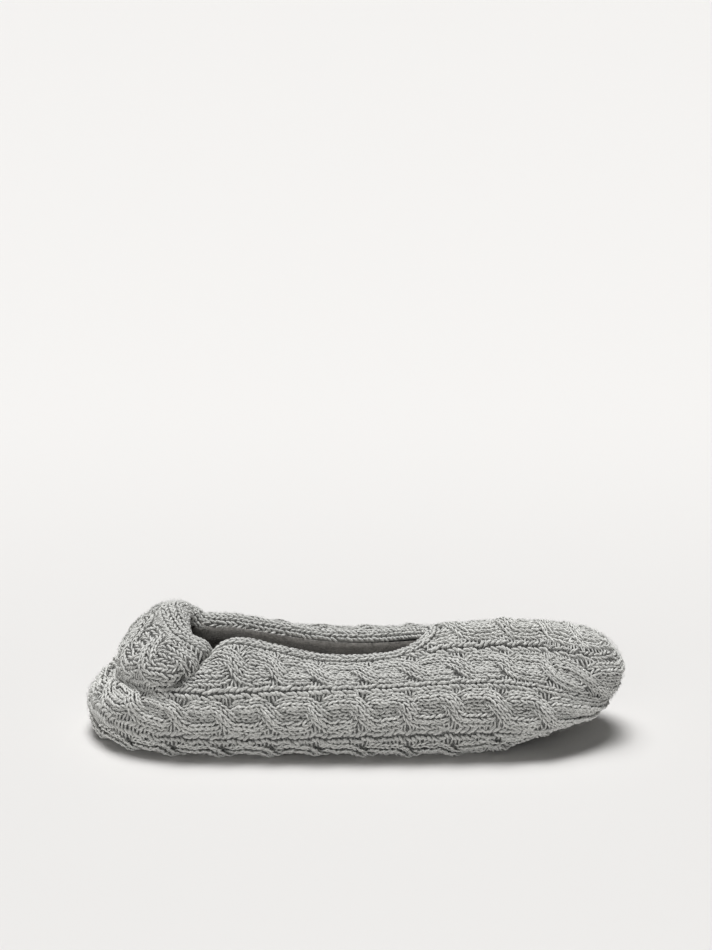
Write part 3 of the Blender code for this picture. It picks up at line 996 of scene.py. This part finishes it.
def knit_cable(yarn, cable, start, end, sizes, sides=BOTH_SIDES, keep=None):
    """The six wales of a cable, three in each strand."""
    for strand in (0, 1):
        path, hidden = strand_path(yarn.random, cable, strand, start, end, sizes)
        for column in (-1, 0, 1):
            dome = sizes.strand_dome * CABLES[cable][3] * (1.0 - abs(column))

            def shown(way, girth, path=path, hidden=hidden):
                covered = np.interp(way, path.way, hidden.astype(float)) > 0.5
                return ~covered & (keep(way, girth) if keep else True)

            knit_wale(yarn, path, column * sizes.wale_width, cable_yarn(sizes), dome, sides, shown)


def grid_faces(columns, rows):
    """Quads of a grid of points, closed along its first axis."""
    i, j = np.meshgrid(np.arange(columns), np.arange(rows - 1), indexing="ij")
    after = (i + 1) % columns
    quads = np.stack((i * rows + j, i * rows + j + 1, after * rows + j + 1, after * rows + j), axis=-1)
    return quads.reshape(-1, 4)


def shell(columns, rows, top, bottom, outside, inside):
    """A closed band of cloth between two lifts, from each column's top girth to one bottom girth."""
    way = np.linspace(0.0, WAY_PERIOD, columns, endpoint=False)
    share = np.linspace(0.0, 1.0, rows)
    high = top(way)
    girth = high[:, None] + (bottom - high)[:, None] * share
    ways = np.repeat(way[:, None], rows, axis=1)
    outer, _ = CLOTH.place(ways, girth, outside(ways, girth))
    inner, _ = CLOTH.place(ways, girth, inside(ways, girth))
    points = np.concatenate((outer, inner[:, ::-1], outer[:, :1]), axis=1)
    girth = np.concatenate((girth, girth[:, ::-1], girth[:, :1]), axis=1)
    ways = np.repeat(from_heel(way)[:, None], girth.shape[1], axis=1)
    return points.reshape(-1, 3), grid_faces(columns, girth.shape[1]), {"way": ways, "girth": girth}


# The purl ground: its mesh, its lift, and where its lift changes
GROUND_COLUMNS = 340
GROUND_ROWS = 46
GROUND_LIFT = -0.0011
VAMP_LIFT = -0.0008
VAMP_FADE = (-0.006, -0.004)
EDGE_FADE = (0.052, 0.059)


class SLIPPER_OT_ground(bpy.types.Operator):
    """Makes the purl ground of the upper: the wall that carries its cables"""

    bl_idname = "slipper.ground"
    bl_label = "Purl ground"

    def execute(self, context):
        def outside(way, girth):
            vamp = (VAMP_LIFT - GROUND_LIFT) * fading(girth, VAMP_FADE)
            return (GROUND_LIFT + vamp) * fading(girth, EDGE_FADE)

        def inside(way, girth):
            return np.full_like(girth, -WALL)

        points, faces, tables = shell(
            GROUND_COLUMNS, GROUND_ROWS, collar_girth, JOINT_LINE, outside, inside
        )
        material = ground_finish("purl_yarn", context.scene.slipper_colours, GROUND_PAINTED_SHADE)
        piece = new_piece("upper_ground", points, faces, material, tables)
        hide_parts("upper")
        return {"FINISHED"}


# Each cable's middle girth, its first crossing, the step between crossings, its relief and last crossing
CABLES = {
    "vamp_cable": (CROWN_LINE, 0.0112, 0.0208, 0.45, 11),
    "collar_cables": (CABLE_WIDTH / 2, 0.0112, 0.0208, 0.54, 11),
    "side_cables": (REPEAT + CABLE_WIDTH / 2, 0.0157, 0.0199, 1.15, 10),
    "edge_cables": (2.0 * REPEAT + CABLE_WIDTH / 2, 0.0157, 0.0199, 0.9, 10),
}

# Where the vamp's cable runs, and how far cables keep below the collar's edge
VAMP_START = THROAT_START + 0.5 * (THROAT_END - THROAT_START)
VAMP_END = WAY_TOE - 0.0026
VAMP_POINTS = 400
VAMP_MARGIN = 0.003
CABLE_MARGIN = 0.001


class SLIPPER_OT_cables(bpy.types.Operator):
    """Knits the cables along the sides and the one over the vamp"""

    bl_idname = "slipper.cables"
    bl_label = "Cables"

    def execute(self, context):
        sizes = context.scene.slipper_sizes
        colours = context.scene.slipper_colours
        for cable in CABLES:
            yarn = Yarn(cable)
            if cable == "vamp_cable":
                knit_cable(yarn, cable, VAMP_START, VAMP_END, sizes, ONCE, below_collar(VAMP_MARGIN))
                self.vamp_base(yarn, sizes)
            else:
                knit_cable(yarn, cable, 0.0, WAY_TOE, sizes, keep=below_collar(CABLE_MARGIN))
            piece = yarn.piece(colours)
        return {"FINISHED"}

    def vamp_base(self, yarn, sizes):
        """Plain wales under the vamp's cable, which show where its strands part."""
        way = np.linspace(VAMP_START, VAMP_END, VAMP_POINTS)
        for wale in range(-3, 3):
            girth = np.full_like(way, CROWN_LINE + (wale + 0.5) * sizes.wale_width)
            path = Path(way, girth, np.zeros_like(way), np.ones_like(way))
            knit_wale(yarn, path, 0.0, cable_yarn(sizes), 0.0, ONCE, below_collar(VAMP_MARGIN))


# The ribs between the cables, and the bars in the grooves beside them
RIB_LINES = (-RIB_ZONE / 2, REPEAT - RIB_ZONE / 2, 2.0 * REPEAT - RIB_ZONE / 2)
RIB_YARN = YarnSize(step=0.0025, width=0.0054, radius=0.00076, reach=(0.28, 0.88))
RIB_NARROW = 0.7
RIB_NARROWS = (0.185, 0.250)
RIB_LIFT = 0.0001
RIB_WAVER = 0.0007
RIB_MARGIN = 0.002
PURL_ASIDE = 0.0037
PURL_STEP = 0.0017
PURL_UNEVEN = 0.3
PURL_SLANT = 0.0030
PURL_LENGTH = 0.0056
PURL_LIFT = -0.0003
PURL_ARCH = 0.0004
PURL_RADIUS = 0.00050
HEEL_BARS = 0.050


class SLIPPER_OT_ribs(bpy.types.Operator):
    """Knits the single ribs between the cables and the purl bars in the grooves beside them"""

    bl_idname = "slipper.ribs"
    bl_label = "Ribs and grooves"

    def execute(self, context):
        colours = context.scene.slipper_colours
        ribs = Yarn("ribs")
        bars = Yarn("purl_bars")
        way = np.linspace(0.0, WAY_TOE, int(WAY_TOE / LINE_STEP))
        for line in RIB_LINES:
            girth = line + waver(ribs.random, way, RIB_WAVER)
            spread = RIB_NARROW + (1.0 - RIB_NARROW) * fading(way, RIB_NARROWS)
            path = Path(way, girth, RIB_LIFT + waver(ribs.random, way, RIB_WAVER), spread)
            knit_wale(ribs, path, 0.0, RIB_YARN, keep=below_collar(RIB_MARGIN))
            for aside, end in ((-PURL_ASIDE, WAY_TOE), (0.0, HEEL_BARS), (PURL_ASIDE, WAY_TOE)):
                self.purl_bars(bars, line + aside, end, below_collar(0.0))
        for yarn in (ribs, bars):
            piece = yarn.piece(colours)
        return {"FINISHED"}

    def purl_bars(self, yarn, line, end, keep):
        """Short bars of yarn across a groove, one for each course from the heel to its end."""
        way = np.arange(0.5 * PURL_STEP, end, PURL_STEP)
        way = way + PURL_UNEVEN * PURL_STEP * (yarn.random.random(len(way)) - 0.5)
        way = way[keep(way, np.full_like(way, line))]
        share = RING_SHARES
        slant = PURL_SLANT * (yarn.random.random(len(way)) - 0.5)
        girth = np.broadcast_to(line + PURL_LENGTH * (share - 0.5), (len(way), len(share)))
        lift = np.broadcast_to(PURL_LIFT + PURL_ARCH * np.sin(math.pi * share), girth.shape)
        taper = 0.5 + 0.5 * np.sin(math.pi * share)
        for side in (1.0, -1.0):
            ways = side * (way[:, None] + slant[:, None] * (share - 0.5))
            centres, normals = CLOTH.place(ways, girth, lift)
            yarn.add(centres, normals, np.broadcast_to(PURL_RADIUS * taper, girth.shape))


# Each seam's way, and the girths where it starts and ends
SEAMS = {
    "heel_seam": (0.0, COLLAR_LINE + 0.003, JOINT_LINE - 0.002),
    "toe_seam": (WAY_TOE, CROWN_LINE + 0.002, JOINT_LINE - 0.002),
}
SEAM_YARN = YarnSize(step=0.0025, width=0.0048, radius=0.00066, reach=RIB_YARN.reach)
SEAM_LIFT = 0.0004


class SLIPPER_OT_seams(bpy.types.Operator):
    """Closes the heel and the toe, each with one line of stitches"""

    bl_idname = "slipper.seams"
    bl_label = "Heel and toe seams"

    def execute(self, context):
        for name, (way, top, bottom) in SEAMS.items():
            yarn = Yarn(name)
            girth = np.linspace(top, bottom, int((bottom - top) / LINE_STEP))
            lift = np.full_like(girth, SEAM_LIFT)
            path = Path(np.full_like(girth, way), girth, lift, np.ones_like(girth))
            knit_wale(yarn, path, 0.0, SEAM_YARN, sides=ONCE)
            piece = yarn.piece(context.scene.slipper_colours)
        return {"FINISHED"}


# The hem's mesh, its wales at lengths round its section, and where the heel's section fades
HEM_COLUMNS = 360
HEM_SIDE_POINTS = 120
HEM_THROAT_POINTS = 40
HEM_SECTION_POINTS = 26
HEM_SOFTENED = 4
HEM_WALES = (0.0003, 0.0036, 0.0069)
HEEL_WALES = (0.0102, 0.0135)
HEEL_FADE = (0.040, 0.072)
SECTION_LEVELS = 8
SECTION_STEP = 0.0002
SECTION_SHARE_STEP = 0.01
HEM_YARN = YarnSize(step=0.0024, width=0.0035, radius=0.00060, reach=LEG_REACH)
HEM_LIFT = -0.0006


class Hem:
    """The folded edge of the collar: a section carried round the opening."""

    def __init__(self):
        side = np.linspace(0.0, THROAT_START, HEM_SIDE_POINTS, endpoint=False)
        quarter = np.sin(np.linspace(0.0, math.pi / 2.0, HEM_THROAT_POINTS))
        near = np.concatenate((side, THROAT_START + (THROAT_END - THROAT_START) * quarter))
        way = np.concatenate((near, WAY_PERIOD - near[-2:0:-1]))
        loop, normals = CLOTH.place(way, collar_girth(way), np.zeros_like(way))
        loop[(0, len(near) - 1), 1] = 0.0
        steps = np.linalg.norm(np.roll(loop, -1, axis=0) - loop, axis=1)
        length = np.concatenate(((0.0,), np.cumsum(steps)))
        self.total = length[-1]
        at = np.linspace(0.0, self.total, HEM_COLUMNS, endpoint=False)
        self.edge = self.resample(loop, length, at)
        self.normal = unit(self.softened(self.resample(normals, length, at)))
        along = np.roll(self.edge, -1, axis=0) - np.roll(self.edge, 1, axis=0)
        self.inward = unit(self.softened(unit(np.cross(self.normal, along))))
        heel = np.append(fading(from_heel(way), HEEL_FADE), 1.0)
        self.heel = np.interp(at, length, heel)
        self.sections = []
        for level in range(SECTION_LEVELS + 1):
            share = level / SECTION_LEVELS
            section = (np.array(HEM_SECTION) * (1.0 - share) + np.array(HEEL_SECTION) * share) * MM
            gaps = np.linalg.norm(np.roll(section, -1, axis=0) - section, axis=1)
            knots = np.concatenate(((0.0,), np.cumsum(gaps)))
            self.sections.append((section, knots))

    def resample(self, values, length, at):
        """Values round a closed loop, read at other lengths."""
        closed = np.concatenate((values, values[:1]))
        return np.stack([np.interp(at, length, closed[:, k]) for k in range(3)], axis=1)

    def softened(self, values):
        """Each direction averaged with its neighbours round the loop."""
        shifts = range(-HEM_SOFTENED, HEM_SOFTENED + 1)
        return sum(np.roll(values, shift, axis=0) for shift in shifts) / len(shifts)

    def outline(self, around, heel, whole):
        """Points of the section, at lengths or at shares of the way round it."""
        flat = 0.0
        for level, (section, knots) in enumerate(self.sections):
            weight = np.maximum(0.0, 1.0 - np.abs(heel * SECTION_LEVELS - level))
            length = around * (knots[-1] if whole else 1.0)
            basis = loop_basis(knots[:-1], knots[-1], np.ravel(length))
            flat = flat + weight[..., None] * (basis @ section).reshape(*np.shape(around), 2)
        return flat

    def place(self, along, around, lift, whole=False):
        """Points over the hem's face and its normals, at lengths or at shares round its section."""
        column = np.mod(along / self.total * HEM_COLUMNS, HEM_COLUMNS)
        i = np.minimum(column.astype(int), HEM_COLUMNS - 1)
        after = (i + 1) % HEM_COLUMNS
        share = (column - i)[..., None]

        def blend(table):
            return table[i] * (1.0 - share) + table[after] * share

        heel = blend(self.heel[:, None])[..., 0]
        step = SECTION_SHARE_STEP if whole else SECTION_STEP
        flat = self.outline(around, heel, whole)
        ahead = unit(self.outline(around + step, heel, whole) - self.outline(around - step, heel, whole))
        facing = np.stack((-ahead[..., 1], ahead[..., 0]), axis=-1)
        inward = blend(self.inward)
        normal = blend(self.normal)
        flat = flat + facing * lift[..., None]
        points = blend(self.edge) + inward * flat[..., :1] + normal * flat[..., 1:]
        return points, unit(inward * facing[..., :1] + normal * facing[..., 1:])


class SLIPPER_OT_hem(bpy.types.Operator):
    """Knits the folded hem round the collar"""

    bl_idname = "slipper.hem"
    bl_label = "Collar hem"

    def execute(self, context):
        colours = context.scene.slipper_colours
        hem = Hem()
        along = np.linspace(0.0, hem.total, HEM_COLUMNS, endpoint=False)
        around = np.linspace(0.0, 1.0, HEM_SECTION_POINTS)
        alongs, arounds = np.meshgrid(along, around, indexing="ij")
        points, _ = hem.place(alongs, arounds, np.full_like(alongs, HEM_LIFT), whole=True)
        faces = grid_faces(HEM_COLUMNS, HEM_SECTION_POINTS)[:, ::-1]
        material = yarn_finish("hem_purl", colours, HEM_GROUND_PAINTED_SHADE)
        ground = new_piece("hem_ground", points.reshape(-1, 3), faces, material)
        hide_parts("collar_hem")
        yarn = Yarn("hem_stitches")
        for wale in HEM_WALES + HEEL_WALES:
            end = HEEL_FADE[1] if wale in HEEL_WALES else hem.total / 2.0
            starts = np.arange(0.0, end, HEM_YARN.step)
            lengths, aside, arch, sized = stitch_legs(yarn.random, starts, HEM_YARN)
            for side in (1.0, -1.0):
                centres, normals = hem.place(side * lengths, wale + aside, arch)
                yarn.add(centres, normals, sized)
        piece = yarn.piece(colours)
        return {"FINISHED"}


# The lining inside the wall: its top edge past the upper's, its padding and where that lies
LINING_GAP = 0.0004
LINING_LIFT = -WALL - LINING_GAP
LINING_TOP = -0.0054
LINING_PADDING = 0.0062
PADDING_MIDDLE = 0.002
PADDING_ABOVE = 0.006
PADDING_BELOW = 0.013
LINING_END = 0.064
LINING_COLUMNS = 240
LINING_ROWS = 32
PILE_DEPTH = 0.0007
# Depths below the lining's top edge between which its painted shade darkens it
PAINTED_SHADE_DEPTHS = (0.0008, 0.0044)


class SLIPPER_OT_lining(bpy.types.Operator):
    """Lines the slipper with fleece and lays its insole"""

    bl_idname = "slipper.lining"
    bl_label = "Lining and insole"

    def execute(self, context):
        colours = context.scene.slipper_colours

        def top(way):
            return np.maximum(collar_girth(way) + LINING_TOP, CROWN_LINE)

        def outside(way, girth):
            below = girth - collar_girth(way) - PADDING_MIDDLE
            below = below / np.where(below < 0.0, PADDING_ABOVE, PADDING_BELOW)
            return LINING_LIFT - LINING_PADDING * bell(below)

        def inside(way, girth):
            return outside(way, girth) - PILE_DEPTH

        points, faces, tables = shell(LINING_COLUMNS, LINING_ROWS, top, LINING_END, outside, inside)
        heights = points[:, 2].reshape(LINING_COLUMNS, -1)
        # Painted shade: the lining grows darker below its top edge
        tables["painted_shade"] = rising(heights[:, :1] - heights, PAINTED_SHADE_DEPTHS)
        material = fleece_finish("lining_fleece", colours.lining)
        piece = new_piece("lining", points, faces, material, tables)
        pad = cover("insole", fleece_finish("insole_fleece", colours.lining))
        return {"FINISHED"}


class SLIPPER_OT_outsole(bpy.types.Operator):
    """Finishes the soft outsole in brushed cloth"""

    bl_idname = "slipper.outsole"
    bl_label = "Outsole"

    def execute(self, context):
        panel = cover("outsole", sole_finish(context.scene.slipper_colours.sole))
        return {"FINISHED"}


# The loose fibres: their thickness, where they start, and how short, upright and curled they can be
FIBRE_RADIUS = 0.000042
FIBRE_POINTS = 4
FIBRE_SIDES = 3
FIBRE_TAPER = 0.6
FIBRE_LAST_GIRTH = 0.056
FIBRE_ROOT = 0.0012
FIBRE_SHORTEST = 0.4
FIBRE_STAND = (0.25, 0.75)
FIBRE_CURL = 0.5


class SLIPPER_OT_fibres(bpy.types.Operator):
    """Frees loose fibres from the yarn, for its soft halo"""

    bl_idname = "slipper.fibres"
    bl_label = "Loose fibres"

    def execute(self, context):
        sizes = context.scene.slipper_sizes
        yarn = Yarn("fibres")
        random = yarn.random
        count = sizes.fibre_count
        way = WAY_PERIOD * random.random(count)
        girth = collar_girth(way) + (FIBRE_LAST_GIRTH - collar_girth(way)) * random.random(count)
        root, normal = CLOTH.place(way, girth, np.full(count, FIBRE_ROOT))
        lean = random.normal(size=(count, 3))
        lean = unit(lean - normal * np.sum(lean * normal, axis=1, keepdims=True))
        curl = np.cross(normal, lean) * random.normal(size=(count, 1))
        shares = FIBRE_SHORTEST + (1.0 - FIBRE_SHORTEST) * random.random((count, 1, 1))
        length = sizes.fibre_length * shares
        share = np.linspace(0.0, 1.0, FIBRE_POINTS)[None, :, None]
        lowest, highest = FIBRE_STAND
        stand = (lowest + (highest - lowest) * random.random((count, 1, 1))) * normal[:, None]
        path = lean[:, None] * share + stand * np.sin(0.5 * math.pi * share)
        path = path + FIBRE_CURL * curl[:, None] * share**2
        centres = root[:, None] + length * path
        radii = FIBRE_RADIUS * np.broadcast_to(1.0 - FIBRE_TAPER * share[..., 0], (count, FIBRE_POINTS))
        yarn.add(centres, np.broadcast_to(normal[:, None], centres.shape), radii)
        piece = yarn.piece(context.scene.slipper_colours, FIBRE_SIDES)
        return {"FINISHED"}


# The camera, with its focus and the slipper's place below the picture's middle in pixels
CAMERA_DISTANCE = 1.30
CAMERA_ELEVATION = math.radians(20.0)
CAMERA_FOCUS_PIXELS = 2895.0
OBJECT_BELOW_PIXELS = 200.0
OBJECT_MIDDLE = 0.025
SENSOR = 36.0
IMAGE_HEIGHT = 950

# The floor's half size, its grain, and its painted light: how much lighter it gets towards the back
FLOOR_HALF = 9.0
FLOOR_GRAIN = 60.0
FLOOR_BUMP = 0.00002
FLOOR_FAR_PAINTED_LIGHT = 1.10
FLOOR_PAINTED_LIGHT_SPAN = (-0.05, 0.60)

# The light: the sky's colour and strength, and each lamp's strength, spread and turn in degrees
SKY_COLOUR = (1.0, 0.995, 0.985)
SKY_STRENGTH = 0.050
LAMPS = {
    "overhead_softbox": (2.04, 28.0, (-6.0, 0.0, 0.0)),
    "back_softbox": (1.43, 34.0, (-15.0, -9.0, 0.0)),
    "front_fill": (0.97, 50.0, (84.0, 0.0, -12.0)),
}


class SLIPPER_OT_stage(bpy.types.Operator):
    """Sets the pale floor, the soft studio light and the camera"""

    bl_idname = "slipper.stage"
    bl_label = "Stage"

    def execute(self, context):
        self.floor(context)
        self.lights(context)
        self.camera(context)
        context.scene.view_settings.view_transform = "Standard"
        return {"FINISHED"}

    def floor(self, context):
        corners = ((-1.0, -1.0), (1.0, -1.0), (1.0, 1.0), (-1.0, 1.0))
        points = [(FLOOR_HALF * x, FLOOR_HALF * y, 0.0) for x, y in corners]
        mesh = bpy.data.meshes.new("studio_floor")
        mesh.from_pydata(points, [], [(0, 1, 2, 3)])
        finish = Finish("floor_paper", roughness=0.7)
        grain = finish.noise(FLOOR_GRAIN)
        colour = context.scene.slipper_colours.floor
        # Painted light: the floor is made lighter towards the back
        depth = finish.node("ShaderNodeSeparateXYZ", None, {0: finish.place()}, output="Y")
        limits = {"From Min": FLOOR_PAINTED_LIGHT_SPAN[0], "From Max": FLOOR_PAINTED_LIGHT_SPAN[1]}
        settings = {"interpolation_type": "SMOOTHSTEP"}
        share = finish.node("ShaderNodeMapRange", settings, {"Value": depth, **limits})
        finish.surface(finish.mix(share, shaded(colour), shaded(colour, FLOOR_FAR_PAINTED_LIGHT)), grain, FLOOR_BUMP)
        mesh.materials.append(finish.material)
        floor = bpy.data.objects.new("studio_floor", mesh)
        context.scene.collection.objects.link(floor)

    def lights(self, context):
        world = bpy.data.worlds.new("studio")
        world.use_nodes = True
        sky = world.node_tree.nodes["Background"]
        sky.inputs["Color"].default_value = shaded(SKY_COLOUR)
        sky.inputs["Strength"].default_value = SKY_STRENGTH
        context.scene.world = world
        for name, (strength, spread, turn) in LAMPS.items():
            lamp = bpy.data.lights.new(name, "SUN")
            lamp.angle = math.radians(spread)
            lamp.energy = strength
            holder = bpy.data.objects.new(name, lamp)
            holder.rotation_euler = [math.radians(angle) for angle in turn]
            context.scene.collection.objects.link(holder)

    def camera(self, context):
        lens = bpy.data.cameras.new("camera")
        lens.sensor_width = SENSOR
        lens.lens = CAMERA_FOCUS_PIXELS * SENSOR / IMAGE_HEIGHT
        camera = bpy.data.objects.new("camera", lens)
        back = CAMERA_DISTANCE * math.cos(CAMERA_ELEVATION)
        up = OBJECT_MIDDLE + CAMERA_DISTANCE * math.sin(CAMERA_ELEVATION)
        camera.location = (0.0, -back, up)
        pitch = CAMERA_ELEVATION - math.atan(OBJECT_BELOW_PIXELS / CAMERA_FOCUS_PIXELS)
        camera.rotation_euler = (math.pi / 2.0 - pitch, 0.0, 0.0)
        context.scene.collection.objects.link(camera)
        context.scene.camera = camera


PIECE_OPERATORS = (
    SLIPPER_OT_ground,
    SLIPPER_OT_cables,
    SLIPPER_OT_ribs,
    SLIPPER_OT_seams,
    SLIPPER_OT_hem,
    SLIPPER_OT_lining,
    SLIPPER_OT_outsole,
    SLIPPER_OT_fibres,
    SLIPPER_OT_stage,
)


class SLIPPER_PT_panel(bpy.types.Panel):
    """Lists the slipper's pieces"""

    bl_label = "Slipper"
    bl_idname = "SLIPPER_PT_panel"
    bl_space_type = "VIEW_3D"
    bl_region_type = "UI"
    bl_category = "Slipper"

    def draw(self, context):
        for operator in PIECE_OPERATORS:
            self.layout.operator(operator.bl_idname)
        for group in (context.scene.slipper_sizes, context.scene.slipper_colours):
            for name in group.__annotations__:
                self.layout.prop(group, name)


CLASSES = (SlipperSizes, SlipperColours, *PIECE_OPERATORS, SLIPPER_PT_panel)


def register():
    for item in CLASSES:
        bpy.utils.register_class(item)
    bpy.types.Scene.slipper_sizes = PointerProperty(type=SlipperSizes)
    bpy.types.Scene.slipper_colours = PointerProperty(type=SlipperColours)


def unregister():
    del bpy.types.Scene.slipper_sizes
    del bpy.types.Scene.slipper_colours
    for item in reversed(CLASSES):
        bpy.utils.unregister_class(item)


def main():
    register()
    for operator in PIECE_OPERATORS:
        group, name = operator.bl_idname.split(".")
        getattr(getattr(bpy.ops, group), name)()


if __name__ == "__main__":
    main()
